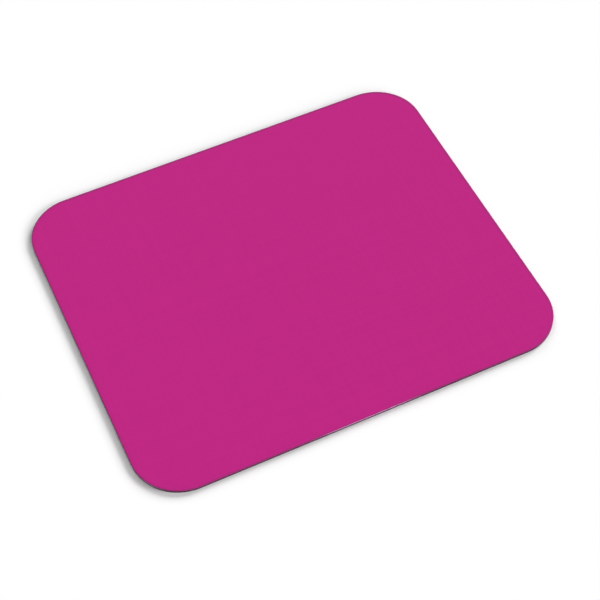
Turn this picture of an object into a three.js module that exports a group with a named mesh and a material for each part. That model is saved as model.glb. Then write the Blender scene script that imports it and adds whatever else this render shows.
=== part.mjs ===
// A rectangular desk mouse pad: a dyed cloth face, a thin bonding film and a sponge rubber base,
// laminated as whole sheets and cut through together with one knife.
// Millimetres, +Z up. The origin is the middle of the underside, +X runs along the longer side
// and +Y points to the back edge, away from the user.

import * as THREE from "three";

// The cut, seen from above
const padLength = 235;
const padDepth = 200;
const cornerRadius = 26.5;

// The sheets, from the desk up
const baseThickness = 1.3;
const filmThickness = 0.25;
const clothThickness = 0.45;

// The cut edge: the knife presses the cloth's face over, the film shrinks back a little,
// and the base's lower edge is rounded
const clothRollRadius = 0.3;
const filmSetback = 0.08;
const baseFootRadius = 0.25;
const largestRoundShare = 0.8; // of a sheet's thickness

// How finely the arcs are divided
const cornerSteps = 16;
const edgeSteps = 4;

const finishes = {
  cloth: { color: 0xbf2a83, roughness: 0.9, metalness: 0 },
  film: { color: 0xfbc5f7, roughness: 0.6, metalness: 0 },
  rubber: { color: 0x3c2335, roughness: 0.95, metalness: 0 },
};

// The cut drawn in by an inset: four corner arcs, joined by straight sides, counterclockwise.
function outline(inset) {
  const radius = cornerRadius - inset;
  const x = padLength / 2 - cornerRadius;
  const y = padDepth / 2 - cornerRadius;
  const quarter = Math.PI / 2;
  const shape = new THREE.Shape();
  shape.absarc(x, y, radius, 0, quarter);
  shape.absarc(-x, y, radius, quarter, 2 * quarter);
  shape.absarc(-x, -y, radius, 2 * quarter, 3 * quarter);
  shape.absarc(x, -y, radius, 3 * quarter, 4 * quarter);
  return shape.getPoints(cornerSteps / 2); // an arc gets twice the divisions asked for
}

// The edge sections below are lists of { inset, height }, from the lower face up to the upper one.

function squareEdge(thickness, inset) {
  return [
    { inset, height: 0 },
    { inset, height: thickness },
  ];
}

// A square edge whose lower corner is a quarter circle.
function roundedFoot(thickness, radius) {
  const section = [];
  for (let step = 0; step <= edgeSteps; step += 1) {
    const angle = (step / edgeSteps) * (Math.PI / 2);
    section.push({
      inset: radius * (1 - Math.sin(angle)),
      height: radius * (1 - Math.cos(angle)),
    });
  }
  section.push({ inset: 0, height: thickness });
  return section;
}

// The same edge upside down, so the quarter circle is at the upper corner.
function rolledTop(thickness, radius) {
  const flipped = roundedFoot(thickness, radius).reverse();
  return flipped.map(({ inset, height }) => ({ inset, height: thickness - height }));
}

// A sheet is its edge section carried round the cut, closed by a flat face below and above.
function sheetGeometry(section) {
  const positions = [];
  const indices = [];
  for (const { inset, height } of section) {
    for (const point of outline(inset)) {
      positions.push(point.x, point.y, height);
    }
  }
  const faceOutline = outline(section[0].inset);
  const ringSize = faceOutline.length;
  for (let ring = 0; ring + 1 < section.length; ring += 1) {
    for (let i = 0; i < ringSize; i += 1) {
      const here = ring * ringSize + i;
      const next = ring * ringSize + ((i + 1) % ringSize);
      indices.push(here, next, next + ringSize);
      indices.push(here, next + ringSize, here + ringSize);
    }
  }
  const upper = (section.length - 1) * ringSize;
  for (const [a, b, c] of THREE.ShapeUtils.triangulateShape(faceOutline, [])) {
    indices.push(c, b, a);
    indices.push(upper + a, upper + b, upper + c);
  }
  const geometry = new THREE.BufferGeometry();
  geometry.setAttribute("position", new THREE.Float32BufferAttribute(positions, 3));
  geometry.setIndex(indices);
  geometry.computeVertexNormals();
  return geometry;
}

function sheet(name, section, height, finish) {
  const mesh = new THREE.Mesh(sheetGeometry(section), new THREE.MeshStandardMaterial(finish));
  mesh.name = name;
  mesh.position.z = height;
  return mesh;
}

function rubberBase() {
  const radius = Math.min(baseFootRadius, largestRoundShare * baseThickness);
  return sheet("rubber_base", roundedFoot(baseThickness, radius), 0, finishes.rubber);
}

function bondingFilm() {
  const section = squareEdge(filmThickness, filmSetback);
  return sheet("bonding_film", section, baseThickness, finishes.film);
}

function surfaceCloth() {
  const radius = Math.min(clothRollRadius, largestRoundShare * clothThickness);
  const height = baseThickness + filmThickness;
  return sheet("surface_cloth", rolledTop(clothThickness, radius), height, finishes.cloth);
}

const mousePad = new THREE.Group();
mousePad.name = "mouse_pad";
mousePad.add(rubberBase(), bondingFilm(), surfaceCloth());

export default mousePad;
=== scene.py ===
import math

import bpy
import numpy as np
from mathutils import Matrix, Vector


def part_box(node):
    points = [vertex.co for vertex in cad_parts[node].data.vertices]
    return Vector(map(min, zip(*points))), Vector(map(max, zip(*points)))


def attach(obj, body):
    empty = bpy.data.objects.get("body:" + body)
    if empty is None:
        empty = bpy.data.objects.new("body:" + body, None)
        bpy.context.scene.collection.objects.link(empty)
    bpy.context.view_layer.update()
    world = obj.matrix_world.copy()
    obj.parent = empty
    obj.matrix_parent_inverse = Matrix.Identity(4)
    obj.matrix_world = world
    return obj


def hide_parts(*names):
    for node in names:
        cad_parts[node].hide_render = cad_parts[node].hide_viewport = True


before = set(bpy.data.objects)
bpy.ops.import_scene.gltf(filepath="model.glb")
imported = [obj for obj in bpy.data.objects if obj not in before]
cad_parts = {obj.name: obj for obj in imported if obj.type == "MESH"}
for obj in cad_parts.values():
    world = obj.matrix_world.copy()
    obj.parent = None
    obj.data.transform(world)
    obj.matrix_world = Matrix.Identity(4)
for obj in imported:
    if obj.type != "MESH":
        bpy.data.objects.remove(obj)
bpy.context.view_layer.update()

mm = 0.001
clothLow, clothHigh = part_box("surface_cloth")
filmLow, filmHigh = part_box("bonding_film")
baseLow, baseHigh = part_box("rubber_base")
print("frame loaded:", len(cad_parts), "sheets,", round(clothHigh.z / mm, 2), "mm thick")

# The knife's cut, which all three sheets share
cut = {
    "cornerRadius": 26.5 * mm,
    "sideStep": 0.6 * mm,  # between points along the straight sides
    "arcSteps": 72,  # round each corner
    "inner": 12 * mm,  # from the cut to the ring inside which a sheet is plain
    "rings": 4,  # from there to the middle
    "waves": 16,  # added up in the cut's small in and out
    "crisp": math.radians(50),  # edges that turn further than this aren't shaded smooth
}
cut["innerX"] = clothHigh.x - cut["cornerRadius"]
cut["innerY"] = clothHigh.y - cut["cornerRadius"]
inward = np.arange(cut["rings"], 0, -1) / cut["rings"]  # shares of the way out from the middle


# Rises from 0 to 1 between low and high, with no kink at either end
def ease(value, low, high):
    share = np.clip((value - low) / (high - low), 0, 1)
    return share * share * (3 - 2 * share)


# The cut is a circle of the corner radius rolled round an inner rectangle: hub is the circle's middle
# and way the outward direction, so hub + way * (radius - inset) is the cut drawn in by an inset.
def cutTrack():
    x = cut["innerX"]
    y = cut["innerY"]
    corners = np.array([[x, y], [-x, y], [-x, -y], [x, -y]])
    hubs = []
    ways = []
    for quarter, corner in enumerate(corners):
        turn = np.linspace(quarter, quarter + 1, cut["arcSteps"] + 1) * math.pi / 2
        arcWays = np.column_stack([np.cos(turn), np.sin(turn)])
        run = corners[(quarter + 1) % len(corners)] - corner
        steps = round(float(np.linalg.norm(run)) / cut["sideStep"])
        along = np.arange(1, steps)[:, None] / steps
        hubs += [np.repeat(corner[None], len(turn), axis=0), corner + run * along]
        ways += [arcWays, np.repeat(arcWays[-1:], steps - 1, axis=0)]
    return np.concatenate(hubs), np.concatenate(ways)


# A small in and out along the cut: sine waves of whole numbers per round, with random phases, added up
def wanderRound(count, shape):
    dice = np.random.default_rng(shape["wanderSeed"])
    numbers = dice.integers(*shape["wanderPerRound"], cut["waves"])
    phases = dice.uniform(0, 2 * math.pi, cut["waves"])
    turn = np.arange(count)[:, None] / count * 2 * math.pi
    return shape["wander"] * np.sin(turn * numbers + phases).sum(axis=1) / math.sqrt(cut["waves"] / 2)


# Rows of a section: how far inside the cut, how much drawn towards the middle, how high, and the share of
# the way up the cut edge, which is 0 all over the lower face and 1 all over the upper one
def sectionRows(inset, shrink, z, climb):
    return np.column_stack(np.broadcast_arrays(inset, shrink, z, climb))


# The section carried round a track, each row at its inset from the cut and its height. The cut's wander
# dies away towards the inner ring.
def carryRound(section, hubs, ways, wander):
    inset, shrink, z = section.T[:3]
    strength = 1 - ease(inset, 0, cut["inner"])
    reach = cut["cornerRadius"] - inset[:, None] - strength[:, None] * wander
    flat = (hubs + ways * reach[..., None]) * shrink[:, None, None]
    height = np.broadcast_to(z[:, None, None], (*flat.shape[:2], 1))
    return np.concatenate([flat, height], axis=2)


# Quads between neighbouring rows of a grid, facing out where rows climb and columns run counterclockwise
def ringQuads(ids):
    after = np.roll(ids, -1, axis=1)
    return np.stack([ids[:-1], after[:-1], after[1:], ids[1:]], axis=-1).reshape(-1, 4)


# Triangles from a ring to the point that closes it
def fan(ring, middle, upward):
    after = np.roll(ring, -1)
    hub = np.full_like(ring, middle)
    return np.column_stack([ring, after, hub] if upward else [hub, after, ring])


mapLayout = {
    "margin": 0.006,  # round the square
    "strips": 4,  # that the cut edge is unrolled into
    "fill": 0.96,  # of its band that a face takes up
    "stripFill": 0.8,
}


# The map for the finish has a band of the square for the lower face, one for the cut edge and one for the
# upper face. Faces lie as seen from above, and the edge is unrolled into strips: track holds each point's
# share of the way round the cut, and of the way up it.
def layMap(mesh, points, track, faces, shares):
    corner = np.concatenate([face.ravel() for face in faces])
    first = np.concatenate([np.repeat(face[:, 0], face.shape[1]) for face in faces])
    lowest = np.concatenate([np.repeat(track[face, 1].min(axis=1), face.shape[1]) for face in faces])
    highest = np.concatenate([np.repeat(track[face, 1].max(axis=1), face.shape[1]) for face in faces])
    band = np.where(highest <= 0, 0, np.where(lowest >= 1, 2, 1))
    start = np.cumsum([0, *shares])[band]
    room = np.array(shares)[band]
    least = points.min(axis=0)
    size = points.max(axis=0) - least
    scale = mapLayout["fill"] * np.minimum(1 / size[0], room / size[1])
    flat = (points[corner, :2] - least[:2]) * scale[:, None]
    begin = track[first, 0]
    along = begin + (track[corner, 0] - begin + 0.5) % 1 - 0.5
    strip = np.floor(begin * mapLayout["strips"])
    across = (strip + mapLayout["stripFill"] * track[corner, 1]) / mapLayout["strips"] * room
    onEdge = (band == 1)[:, None]
    places = np.where(onEdge, np.column_stack([along * mapLayout["strips"] - strip, across]), flat)
    places[:, 1] += start
    places = mapLayout["margin"] + (1 - 2 * mapLayout["margin"]) * places
    mesh.uv_layers.new(name="OFBake").uv.foreach_set("vector", places.astype(np.float32).ravel())


# The mesh of a piece. Rim is each point's share of the rim's colour, a painted edge shade, where a finish
# has one.
def makePiece(name, points, track, faces, shares, material, rim=None):
    mesh = bpy.data.meshes.new(name)
    mesh.from_pydata(points.tolist(), [], [corners for face in faces for corners in face.tolist()])
    mesh.polygons.foreach_set("use_smooth", np.ones(len(mesh.polygons), bool))
    mesh.set_sharp_from_angle(angle=cut["crisp"])
    layMap(mesh, points, track, faces, shares)
    if rim is not None:
        mesh.attributes.new("rim", "FLOAT", "POINT").data.foreach_set("value", rim.astype(np.float32))
    mesh.update()
    mesh.materials.append(material)
    piece = bpy.data.objects.new(name, mesh)
    bpy.context.scene.collection.objects.link(piece)
    print(name, "made:", sum(len(face) * (face.shape[1] - 2) for face in faces), "triangles")
    return piece


# A closed sheet: its rows run from the middle of the lower face out to the cut, up it and back over the
# upper face, and a point in the middle closes each end
def closeSheet(name, rows, climb, shares, material, rim=None):
    count = rows.shape[1]
    ids = np.arange(len(rows) * count).reshape(len(rows), count)
    middles = [[0, 0, rows[0, 0, 2]], [0, 0, rows[-1, 0, 2]]]
    points = np.concatenate([rows.reshape(-1, 3), middles])
    track = np.column_stack([np.tile(np.arange(count) / count, len(rows)), np.repeat(climb, count)])
    track = np.concatenate([track, [[0, 0], [0, 1]]])
    ends = np.concatenate([fan(ids[0], ids.size, False), fan(ids[-1], ids.size + 1, True)])
    return makePiece(name, points, track, [ringQuads(ids), ends], shares, material, rim)


# A socket takes a link from another node, or a fixed value
def feed(tree, socket, value):
    if isinstance(value, bpy.types.NodeSocket):
        tree.links.new(value, socket)
    else:
        socket.default_value = value


# A new node with its settings made and its inputs fed
def putNode(tree, kind, inputs, **settings):
    node = tree.nodes.new(kind)
    for name, value in settings.items():
        setattr(node, name, value)
    for key, value in inputs.items():
        feed(tree, node.inputs[key], value)
    return node


def work(tree, operation, *values):
    return putNode(tree, "ShaderNodeMath", dict(enumerate(values)), operation=operation).outputs[0]


# value * scale + shift
def lift(tree, value, scale, shift):
    return work(tree, "MULTIPLY_ADD", value, scale, shift)


# From the first of two ends to the second as share goes from 0 to 1
def between(tree, share, ends):
    return lift(tree, share, ends[1] - ends[0], ends[0])


# Adds a pattern that runs from 0 to 1 to a shade, evenly to both sides
def tint(tree, shade, pattern, size):
    return work(tree, "ADD", shade, lift(tree, pattern, size, -size / 2))


# Smooth step of a value from 0 at low to 1 at high, or down if low is above high
def fade(tree, value, low, high):
    inputs = {"Value": value, "From Min": low, "From Max": high}
    return putNode(tree, "ShaderNodeMapRange", inputs, interpolation_type="SMOOTHSTEP").outputs[0]


# Noise with lumps of about a size
def lumps(tree, place, size, detail):
    return putNode(tree, "ShaderNodeTexNoise", {"Vector": place, "Scale": 1 / size, "Detail": detail})


def vectorWork(tree, operation, inputs):
    return putNode(tree, "ShaderNodeVectorMath", inputs, operation=operation).outputs[0]


def blendColours(tree, share, first, second):
    node = tree.nodes.new("ShaderNodeMix")
    node.data_type = "RGBA"
    sockets = {socket.name: socket for socket in node.inputs if socket.enabled}
    feed(tree, sockets["Factor"], share)
    feed(tree, sockets["A"], first)
    feed(tree, sockets["B"], second)
    return next(socket for socket in node.outputs if socket.enabled)


# What is the same all over the surface is set on the shader itself
def newMaterial(name, allOver):
    material = bpy.data.materials.new(name)
    material.use_nodes = True
    tree = material.node_tree
    shader = tree.nodes["Principled BSDF"]
    for socket, value in allOver.items():
        shader.inputs[socket].default_value = value
    place = tree.nodes.new("ShaderNodeTexCoord").outputs["Object"]
    return material, tree, shader, place


# Colour, roughness and relief that change from place to place
def dress(tree, shader, finish, colour, roughness, height):
    relief = {"Strength": finish["reliefStrength"], "Distance": finish["relief"], "Height": height}
    bump = putNode(tree, "ShaderNodeBump", relief)
    feed(tree, shader.inputs["Base Color"], colour)
    feed(tree, shader.inputs["Roughness"], roughness)
    feed(tree, shader.inputs["Normal"], bump.outputs["Normal"])


edgeDarkening = {
    "none": 12 * mm,  # so far to both sides of the front edge's middle it is not darkened
    "whole": 34 * mm,  # and from here on it is dark
    "behind": -88 * mm,  # y at which the front edge's darkening ends, round the front corners
    "front": -96 * mm,  # and at which it is whole
    "elsewhere": 0.28,  # of the whole, along the rest of the cut
}


# The front edge is left pale in the middle and made darker towards both ends, and the rest of the cut
# is made a little darker all along
def darkenedStretch(tree, place):
    axes = putNode(tree, "ShaderNodeSeparateXYZ", {0: place})
    aside = fade(tree, work(tree, "ABSOLUTE", axes.outputs["X"]), edgeDarkening["none"], edgeDarkening["whole"])
    front = fade(tree, axes.outputs["Y"], edgeDarkening["behind"], edgeDarkening["front"])
    return lift(tree, front, work(tree, "SUBTRACT", aside, edgeDarkening["elsewhere"]), edgeDarkening["elsewhere"])


clothFinish = {
    "allOver": {"Specular IOR Level": 0.06, "Sheen Weight": 0.02, "Sheen Roughness": 0.5},
    "dye": (0.516, 0.0181, 0.223),  # linear
    "rimShadeColour": (0.300, 0.030, 0.165, 1),  # painted shade along the cut edge
    "undyed": (0.97, 0.54, 0.93, 1),  # the back of the cloth, which the dye doesn't reach
    "undyedDepth": 0.25 * mm,
    "pitch": 0.56 * mm,  # from thread to thread
    "drift": 0.10 * mm,  # how far the threads stray from straight
    "driftOver": 4 * mm,
    "driftDetail": 2.0,
    "domes": 0.45,  # of the weave's height that the crossings make; the threads make the rest
    "firstWeft": 5000.5,  # its number, clear of those of the warp threads
    "fibres": 7,  # about as many show across a thread
    "fibreDetail": 1.0,
    "cloudOver": 30 * mm,
    "cloudDetail": 1.0,
    "weaveShade": 0.24,  # painted shade: how much darker the hollows between threads are
    "threadShade": 0.05,  # between one thread and the next
    "fibreShade": 0.12,
    "cloudShade": 0.012,
    "roughness": (0.97, 0.83),  # in the hollows, then on the crowns
    "relief": 0.05 * mm,
    "reliefStrength": 0.5,
    "fibreRelief": 0.3,  # next to the weave's 1
}


# Plain weave: a thread's height is the half wave |sin| across it, and the two sets pass over each other
# in a checkerboard, which is the sign of sin u * sin v. Each thread has a number for its own shade, and
# fine fibres run along it.
def weave(tree, place):
    finish = clothFinish
    stray = lumps(tree, place, finish["driftOver"], finish["driftDetail"]).outputs["Color"]
    drift = vectorWork(tree, "MULTIPLY_ADD", {0: stray, 1: (2 * finish["drift"],) * 3, 2: place})
    threads = vectorWork(tree, "SCALE", {0: drift, "Scale": 1 / finish["pitch"]})
    axes = putNode(tree, "ShaderNodeSeparateXYZ", {0: threads})
    u = axes.outputs["X"]
    v = axes.outputs["Y"]
    waveU = work(tree, "SINE", work(tree, "MULTIPLY", u, math.pi))
    waveV = work(tree, "SINE", work(tree, "MULTIPLY", v, math.pi))
    acrossU = work(tree, "ABSOLUTE", waveU)
    acrossV = work(tree, "ABSOLUTE", waveV)
    warpOver = work(tree, "GREATER_THAN", work(tree, "MULTIPLY", waveU, waveV), 0.0)
    weftOver = work(tree, "SUBTRACT", 1.0, warpOver)
    crown = work(tree, "MULTIPLY_ADD", warpOver, acrossU, work(tree, "MULTIPLY", weftOver, acrossV))
    dome = work(tree, "MULTIPLY", acrossU, acrossV)
    height = lift(tree, dome, finish["domes"], lift(tree, crown, 1 - finish["domes"], 0.0))

    warpNumber = work(tree, "MULTIPLY", warpOver, work(tree, "FLOOR", u))
    weft = lift(tree, work(tree, "FLOOR", v), 1.0, finish["firstWeft"])
    weftNumber = work(tree, "MULTIPLY", weftOver, weft)
    number = work(tree, "ADD", warpNumber, weftNumber)
    thread = putNode(tree, "ShaderNodeTexWhiteNoise", {"W": number}, noise_dimensions="1D").outputs["Value"]
    fineness = {
        "X": between(tree, warpOver, (1, finish["fibres"])),
        "Y": between(tree, weftOver, (1, finish["fibres"])),
        "Z": 1.0,
    }
    stretch = putNode(tree, "ShaderNodeCombineXYZ", fineness).outputs[0]
    drawn = vectorWork(tree, "MULTIPLY", {0: threads, 1: stretch})
    fibre = lumps(tree, drawn, 1.0, finish["fibreDetail"]).outputs["Fac"]
    return height, thread, fibre


# Dyed cloth: the weave's hollows are painted darker as shade, evenly about its mean height. Along the cut a
# darker band is painted as edge shade, and the back of the cloth shows undyed where the cut is not darkened.
def clothMaterial():
    finish = clothFinish
    material, tree, shader, place = newMaterial("dyedCloth", finish["allOver"])
    height, thread, fibre = weave(tree, place)
    meanWave = 2 / math.pi  # of a half wave
    meanHeight = finish["domes"] * meanWave**2 + (1 - finish["domes"]) * meanWave
    # Painted shade: the weave's hollows darker than its crowns, evenly about the mean height so the mean
    # colour stays the dye
    shade = lift(tree, height, finish["weaveShade"], 1 - finish["weaveShade"] * meanHeight)
    shade = tint(tree, shade, thread, finish["threadShade"])
    shade = tint(tree, shade, fibre, finish["fibreShade"])
    cloud = lumps(tree, place, finish["cloudOver"], finish["cloudDetail"]).outputs["Fac"]
    shade = tint(tree, shade, cloud, finish["cloudShade"])
    dye = vectorWork(tree, "SCALE", {0: finish["dye"], "Scale": shade})

    # Painted edge shade: the rim attribute mixes a darker colour in along the cut, and the undyed back in
    # its place low on the front edge's pale stretch
    rim = putNode(tree, "ShaderNodeAttribute", {}, attribute_name="rim").outputs["Fac"]
    z = putNode(tree, "ShaderNodeSeparateXYZ", {0: place}).outputs["Z"]
    bare = work(tree, "LESS_THAN", z, clothLow.z + finish["undyedDepth"])
    undarkened = work(tree, "SUBTRACT", 1.0, darkenedStretch(tree, place))
    edge = blendColours(tree, work(tree, "MULTIPLY", bare, undarkened), finish["rimShadeColour"], finish["undyed"])
    colour = blendColours(tree, rim, dye, edge)
    relief = tint(tree, height, fibre, finish["fibreRelief"])
    dress(tree, shader, finish, colour, between(tree, height, finish["roughness"]), relief)
    return material


filmFinish = {
    "allOver": {"Specular IOR Level": 0.4},
    "glue": (0.97, 0.56, 0.93, 1),  # gone milky
    "dustAndDarkening": (0.19, 0.06, 0.14, 1),  # where rubber dust sticks to it, and along the darkened stretches of the cut
    "dustOver": 9 * mm,
    "dustDetail": 4.0,
    "dustStep": (0.45, 0.70),  # of the noise, where dust begins and where it is thickest
    "dustShare": 0.25,  # at the thickest in the stretches that aren't darkened
    "roughness": (0.50, 0.85),  # plain glue, then at full dust and darkening
    "ripple": 0.4 * mm,
    "rippleDetail": 2.0,
    "relief": 0.03 * mm,
    "reliefStrength": 0.4,
}


# Milky glue, with patches of rubber dust from the knife, and darker along the darkened stretches of the cut
def filmMaterial():
    finish = filmFinish
    material, tree, shader, place = newMaterial("glueFilm", finish["allOver"])
    noise = lumps(tree, place, finish["dustOver"], finish["dustDetail"]).outputs["Fac"]
    dust = work(tree, "MULTIPLY", fade(tree, noise, *finish["dustStep"]), finish["dustShare"])
    dustAndDarkening = work(tree, "MAXIMUM", dust, darkenedStretch(tree, place))
    colour = blendColours(tree, dustAndDarkening, finish["glue"], finish["dustAndDarkening"])
    ripple = lumps(tree, place, finish["ripple"], finish["rippleDetail"]).outputs["Fac"]
    dress(tree, shader, finish, colour, between(tree, dustAndDarkening, finish["roughness"]), ripple)
    return material


rubberFinish = {
    "allOver": {"Specular IOR Level": 0.25},
    "skin": (0.050, 0.019, 0.039, 1),  # between the pits
    "poreShade": (0.022, 0.008, 0.017, 1),  # painted shade in them
    "scuffed": (0.130, 0.093, 0.115, 1),  # where the ribs rub on the desk
    "cell": 0.32 * mm,  # of the sponge
    "cellWall": (0.15, 0.55),  # where a pit's wall rises, in cells from its middle
    "grain": 0.12 * mm,
    "grainDetail": 3.0,
    "grainRelief": 0.5,  # next to the cells' 1
    "scuffOver": 24 * mm,
    "scuffDetail": 5.0,
    "scuffStep": (0.40, 0.70),  # of the noise, where scuffs begin and where they are whole
    "scuffHeight": 0.10 * mm,
    "roughness": (0.96, 0.84),  # in the pits, then between them
    "relief": 0.06 * mm,
    "reliefStrength": 0.6,
}


# Sponge rubber: cells of a Voronoi pattern are pits, painted darker as shade, fine grain lies between them,
# and the lowest part of the ribs is scuffed paler in patches
def rubberMaterial():
    finish = rubberFinish
    material, tree, shader, place = newMaterial("spongeRubber", finish["allOver"])
    cells = putNode(tree, "ShaderNodeTexVoronoi", {"Vector": place, "Scale": 1 / finish["cell"]})
    wall = fade(tree, cells.outputs["Distance"], *finish["cellWall"])
    grain = lumps(tree, place, finish["grain"], finish["grainDetail"]).outputs["Fac"]
    noise = lumps(tree, place, finish["scuffOver"], finish["scuffDetail"]).outputs["Fac"]
    patch = fade(tree, noise, *finish["scuffStep"])
    z = putNode(tree, "ShaderNodeSeparateXYZ", {0: place}).outputs["Z"]
    low = fade(tree, z, finish["scuffHeight"], 0.0)
    # Painted shade: the pits darker than the skin between them
    body = blendColours(tree, wall, finish["poreShade"], finish["skin"])
    worn = work(tree, "MULTIPLY", work(tree, "MULTIPLY", low, patch), wall)
    colour = blendColours(tree, worn, body, finish["scuffed"])
    relief = tint(tree, wall, grain, finish["grainRelief"])
    dress(tree, shader, finish, colour, between(tree, wall, finish["roughness"]), relief)
    return material


clothShape = {
    "roll": 0.30 * mm,  # radius of the upper edge, pressed over by the knife
    "rollSteps": 6,
    "press": 0.03 * mm,  # how far the face dips before the roll
    "pressOver": 1.6 * mm,
    "rimRows": 13,  # from the roll to past the rim
    "rimStep": 0.12 * mm,
    "faceRows": (2.2 * mm, 3 * mm, 6 * mm),  # insets of a few more, on the way to the inner ring
    "wander": 0.018 * mm,  # the cut's small in and out
    "wanderPerRound": (60, 420),  # waves, at least and at most
    "wanderSeed": 11,
    # The painted edge shade at the front and left, then at the back and right, set apart for the lamps,
    # which light the back and right more
    "edgeShade": (0.75, 0.28),  # of the rim's colour at the cut
    "rimShade": (0.59, 0.69),  # and inside the roll
    "rimReach": (0.79 * mm, 1.50 * mm),  # from the cut to where half of it is gone
    "rimFade": 0.27 * mm,  # to both sides of that
    "mapShares": (0.04, 0.09, 0.85),  # of the map: lower face, cut edge, upper face
}


# The cloth: from the middle of its back out to the cut, up the cut edge, over the roll, and back along the
# face to the middle. The face dips a little towards the roll.
def makeCloth():
    shape = clothShape
    hubs, ways = cutTrack()
    low = clothLow.z
    high = clothHigh.z
    angle = np.linspace(0, math.pi / 2, shape["rollSteps"] + 1)
    rollInset = shape["roll"] * (1 - np.cos(angle))
    rollZ = high - shape["press"] - shape["roll"] * (1 - np.sin(angle))
    rimInset = shape["roll"] + shape["rimStep"] * np.arange(1, shape["rimRows"] + 1)
    faceInset = np.concatenate([rimInset, shape["faceRows"], [cut["inner"]]])
    faceZ = high - shape["press"] * (1 - ease(faceInset, shape["roll"], shape["roll"] + shape["pressOver"]))
    section = np.concatenate(
        [
            sectionRows(cut["inner"], inward[::-1], low, 0),
            sectionRows(0, 1, low, 0),
            sectionRows(rollInset, 1, rollZ, (rollZ - low) / (rollZ[-1] - low)),
            sectionRows(faceInset, 1, faceZ, 1),
            sectionRows(cut["inner"], inward[1:], high, 1),
        ]
    )
    rows = carryRound(section, hubs, ways, wanderRound(len(hubs), shape))

    inset = section[:, 0]
    # Painted edge shade: the rim's share of the darker colour, which changes from the front and left to the
    # back and right with the lamps
    lean = 0.5 + 0.5 * ways.sum(axis=1)  # 0 at the front and left edges, 1 at the back and right ones
    ends = (shape["edgeShade"], shape["rimShade"], shape["rimReach"])
    edge, inner, reach = (near + (far - near) * lean for near, far in ends)
    rim = edge + (inner - edge) * np.clip(inset / shape["roll"], 0, 1)[:, None]
    rim = rim * (1 - ease(inset[:, None], reach - shape["rimFade"], reach + shape["rimFade"]))
    rim = np.append(rim.ravel(), [0, 0])
    return closeSheet("surfaceCloth", rows, section[:, 3], shape["mapShares"], clothMaterial(), rim)


filmShape = {
    "setback": clothHigh.x - filmHigh.x,  # behind the cut, from the frame
    "bead": 0.03 * mm,  # how far the glue swells out between the sheets
    "beadSteps": 4,
    "wander": 0.02 * mm,
    "wanderPerRound": (40, 300),
    "wanderSeed": 23,
    "mapShares": (0.25, 0.45, 0.25),
}


# The film: flat below and above, with an edge that swells as a half wave between the sheets
def makeFilm():
    shape = filmShape
    hubs, ways = cutTrack()
    rise = np.linspace(0, 1, shape["beadSteps"] + 1)
    edgeInset = shape["setback"] - shape["bead"] * np.sin(math.pi * rise)
    edgeZ = filmLow.z + (filmHigh.z - filmLow.z) * rise
    section = np.concatenate(
        [
            sectionRows(cut["inner"], inward[::-1], filmLow.z, 0),
            sectionRows(edgeInset, 1, edgeZ, rise),
            sectionRows(cut["inner"], inward, filmHigh.z, 1),
        ]
    )
    rows = carryRound(section, hubs, ways, np.abs(wanderRound(len(hubs), shape)))
    return closeSheet("bondingFilm", rows, section[:, 3], shape["mapShares"], filmMaterial())


baseShape = {
    "foot": 0.25 * mm,  # radius of the lower edge
    "footSteps": 4,
    "waist": 0.07 * mm,  # how far the cut side is drawn in at half height
    "wallSteps": 8,
    "wander": 0.02 * mm,
    "wanderPerRound": (40, 300),
    "wanderSeed": 37,
    "ribPitch": 3.2 * mm,
    "ribDepth": 0.25 * mm,
    "rowsPerRib": 8,
    "cornerRows": 72,  # at each end, round the corners
    "columns": 148,  # points along a row
    "swing": 1.0 * mm,  # of the ribs' waves
    "swingOver": 13 * mm,
    "plainRim": 1.0 * mm,  # along the cut, with no ribs
    "rimFade": 1.5 * mm,  # over which the ribs rise
    "swingFade": 6.0 * mm,  # over which their waves grow
    "mapShares": (0.85, 0.09, 0.04),
}


# The underside: rows across the pad, each as long as the pad is there, with wavy ribs. The height is an
# eased cosine of the row's number, flat again near the cut, and the rows swing to and fro as a sine of x.
def undersideGrid():
    shape = baseShape
    radius = cut["cornerRadius"] - shape["foot"]
    x0 = cut["innerX"]
    y0 = cut["innerY"]
    ribs = round(2 * y0 / shape["ribPitch"])
    turn = np.linspace(0, math.pi / 2, shape["cornerRows"] + 1)[1:]
    bend = y0 + radius * np.sin(turn)
    rows = np.concatenate([-bend[::-1], np.linspace(-y0, y0, ribs * shape["rowsPerRib"] + 1), bend])
    beyond = np.maximum(np.abs(rows) - y0, 0)
    half = x0 + np.sqrt(np.maximum(radius**2 - beyond**2, 0))
    x = half[:, None] * np.linspace(-1, 1, shape["columns"])
    y = np.broadcast_to(rows[:, None], x.shape)
    outside = np.hypot(x - np.clip(x, -x0, x0), y - np.clip(y, -y0, y0))
    inside = np.maximum(np.minimum(x0 - np.abs(x), y0 - np.abs(y)), 0)
    fromCut = radius - outside + inside
    phase = (rows + y0) / (2 * y0 / ribs)
    hollow = ease(0.5 - 0.5 * np.cos(2 * math.pi * phase), 0, 1)[:, None]
    z = shape["ribDepth"] * hollow * ease(fromCut, shape["plainRim"], shape["plainRim"] + shape["rimFade"])
    swing = shape["swing"] * np.sin(2 * math.pi * x / shape["swingOver"])
    swing *= ease(fromCut, 0, shape["swingFade"])
    return np.stack([x, y + swing, baseLow.z + z], axis=-1)


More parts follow.
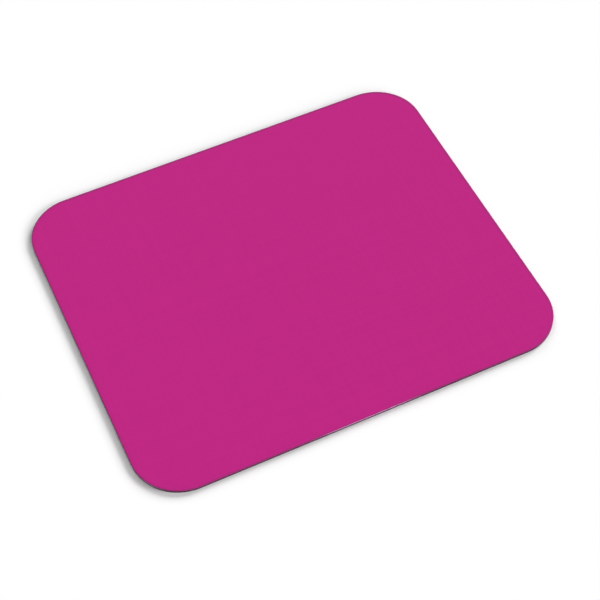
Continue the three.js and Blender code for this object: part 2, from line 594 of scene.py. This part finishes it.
# The base: the ribbed underside, the rounded foot, the cut side drawn in at half height, and a flat top
def makeBase():
    shape = baseShape
    grid = undersideGrid()
    ids = np.arange(grid.shape[0] * grid.shape[1]).reshape(grid.shape[:2])
    below = np.stack([ids[:-1, :-1], ids[1:, :-1], ids[1:, 1:], ids[:-1, 1:]], axis=-1).reshape(-1, 4)
    loop = np.concatenate([ids[0, :-1], ids[:-1, -1], ids[-1, :0:-1], ids[:0:-1, 0]])
    edge = grid.reshape(-1, 3)[loop, :2]
    hubs = np.clip(edge, [-cut["innerX"], -cut["innerY"]], [cut["innerX"], cut["innerY"]])
    ways = (edge - hubs) / np.linalg.norm(edge - hubs, axis=1)[:, None]
    angle = np.linspace(0, math.pi / 2, shape["footSteps"] + 1)[1:]
    footZ = shape["foot"] * (1 - np.cos(angle))
    rise = np.linspace(0, 1, shape["wallSteps"] + 1)[1:]
    thick = baseHigh.z - baseLow.z
    wallZ = shape["foot"] + (thick - shape["foot"]) * rise
    section = np.concatenate(
        [
            sectionRows(shape["foot"] * (1 - np.sin(angle)), 1, baseLow.z + footZ, footZ / thick),
            sectionRows(shape["waist"] * np.sin(math.pi * rise), 1, baseLow.z + wallZ, wallZ / thick),
            sectionRows(cut["inner"], inward, baseHigh.z, 1),
        ]
    )
    walls = carryRound(section, hubs, ways, np.abs(wanderRound(len(loop), shape)))
    wallIds = ids.size + np.arange(len(walls) * len(loop)).reshape(len(walls), len(loop))
    last = ids.size + wallIds.size
    points = np.concatenate([grid.reshape(-1, 3), walls.reshape(-1, 3), [[0, 0, baseHigh.z]]])
    share = np.arange(len(loop)) / len(loop)
    track = np.zeros((len(points), 2))
    track[loop, 0] = share
    track[ids.size : last, 0] = np.tile(share, len(walls))
    track[ids.size : last, 1] = np.repeat(section[:, 3], len(loop))
    track[last, 1] = 1
    quads = np.concatenate([below, ringQuads(np.concatenate([loop[None], wallIds]))])
    top = fan(wallIds[-1], last, True)
    return makePiece("rubberBase", points, track, [quads, top], shape["mapShares"], rubberMaterial())


base = makeBase()
film = makeFilm()
cloth = makeCloth()
for piece, node in [(base, "rubber_base"), (film, "bonding_film"), (cloth, "surface_cloth")]:
    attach(piece, "root")
    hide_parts(node)

studio = {
    "floorSize": 8.0,  # m
    "floorFinish": {
        "Base Color": (0.985, 0.985, 0.985, 1),
        "Roughness": 1.0,
        "Specular IOR Level": 0.0,
        "Emission Color": (1, 1, 1, 1),
    },
    "floorGlow": 0.02,  # seen, without lighting the pad
    "skyColour": (1, 1, 1, 1),
    "skyLight": 0.124,  # share of the light on a level face; the lamps' shares make it up to 1
    "lamps": {  # share, then degrees: from +X towards +Y, above the floor, across
        "backLamp": (0.117, 84.0, 24.0, 28.0),
        "rightLamp": (0.359, 26.5, 24.0, 26.0),
        "nearLamp": (0.193, -31.5, 19.5, 19.0),
        "frontLamp": (0.135, -82.5, 17.0, 27.0),
        "leftLamp": (0.072, 182.0, 32.0, 30.0),
    },
}


# 1 for what the camera sees straight, in a gloss or through glass, so that all of these show the same white
def seenRays(tree):
    rays = tree.nodes.new("ShaderNodeLightPath").outputs
    indirect = work(tree, "MAXIMUM", rays["Is Glossy Ray"], rays["Is Transmission Ray"])
    return work(tree, "MAXIMUM", rays["Is Camera Ray"], indirect)


# White floor: it takes shadows, and shows a little brighter to the camera than it lights the pad
def makeFloor():
    half = studio["floorSize"] / 2
    corners = [(-half, -half, 0), (half, -half, 0), (half, half, 0), (-half, half, 0)]
    mesh = bpy.data.meshes.new("floor")
    mesh.from_pydata(corners, [], [(0, 1, 2, 3)])
    material, tree, shader, _ = newMaterial("whiteFloor", studio["floorFinish"])
    seen = seenRays(tree)
    feed(tree, shader.inputs["Emission Strength"], work(tree, "MULTIPLY", seen, studio["floorGlow"]))
    mesh.materials.append(material)
    floor = bpy.data.objects.new("floor", mesh)
    bpy.context.scene.collection.objects.link(floor)


# Weak even light from all round, which shows as white, and five broad low lamps
def makeLight():
    world = bpy.data.worlds.new("studio")
    world.use_nodes = True
    tree = world.node_tree
    background = tree.nodes["Background"]
    background.inputs["Color"].default_value = studio["skyColour"]
    seen = seenRays(tree)
    feed(tree, background.inputs["Strength"], between(tree, seen, (studio["skyLight"], 1)))
    bpy.context.scene.world = world
    for name, (share, *degrees) in studio["lamps"].items():
        side, height, width = (math.radians(value) for value in degrees)
        lamp = bpy.data.lights.new(name, "SUN")
        lamp.energy = share * math.pi / math.sin(height)
        lamp.angle = width
        lampObject = bpy.data.objects.new(name, lamp)
        level = math.cos(height)
        towards = Vector((level * math.cos(side), level * math.sin(side), math.sin(height)))
        lampObject.rotation_euler = towards.to_track_quat("Z", "Y").to_euler()
        bpy.context.scene.collection.objects.link(lampObject)


photoView = {
    "azimuth": -22.811,  # degrees; 0 looks along +Y
    "elevation": 54.241,
    "roll": -2.474,
    "distance": 779.13 * mm,
    "lookAt": (-1.011 * mm, -19.936 * mm, clothHigh.z),
    "focalPixels": 1474.5,  # the lens, in pixels of the photo
    "framePixels": 600,  # the photo's width
    "sensor": 36.0,  # mm
}


# The camera stands back from the point looked at along azimuth and elevation, then rolls about its own axis
def makeCamera():
    azimuth = math.radians(photoView["azimuth"])
    elevation = math.radians(photoView["elevation"])
    level = math.cos(elevation)
    back = Vector((math.sin(azimuth) * level, -math.cos(azimuth) * level, math.sin(elevation)))
    right = Vector((0, 0, 1)).cross(back).normalized()
    up = back.cross(right)
    axes = Matrix((right, up, back)).transposed().to_4x4()
    camera = bpy.data.cameras.new("photoCamera")
    camera.sensor_width = photoView["sensor"]
    camera.lens = photoView["focalPixels"] / photoView["framePixels"] * photoView["sensor"]
    cameraObject = bpy.data.objects.new("photoCamera", camera)
    roll = Matrix.Rotation(math.radians(photoView["roll"]), 4, "Z")
    place = Matrix.Translation(Vector(photoView["lookAt"]) + back * photoView["distance"])
    cameraObject.matrix_world = place @ axes @ roll
    bpy.context.scene.collection.objects.link(cameraObject)
    bpy.context.scene.camera = cameraObject


makeFloor()
makeLight()
makeCamera()
bpy.context.scene.view_settings.view_transform = "Standard"
print("floor, light and camera placed")
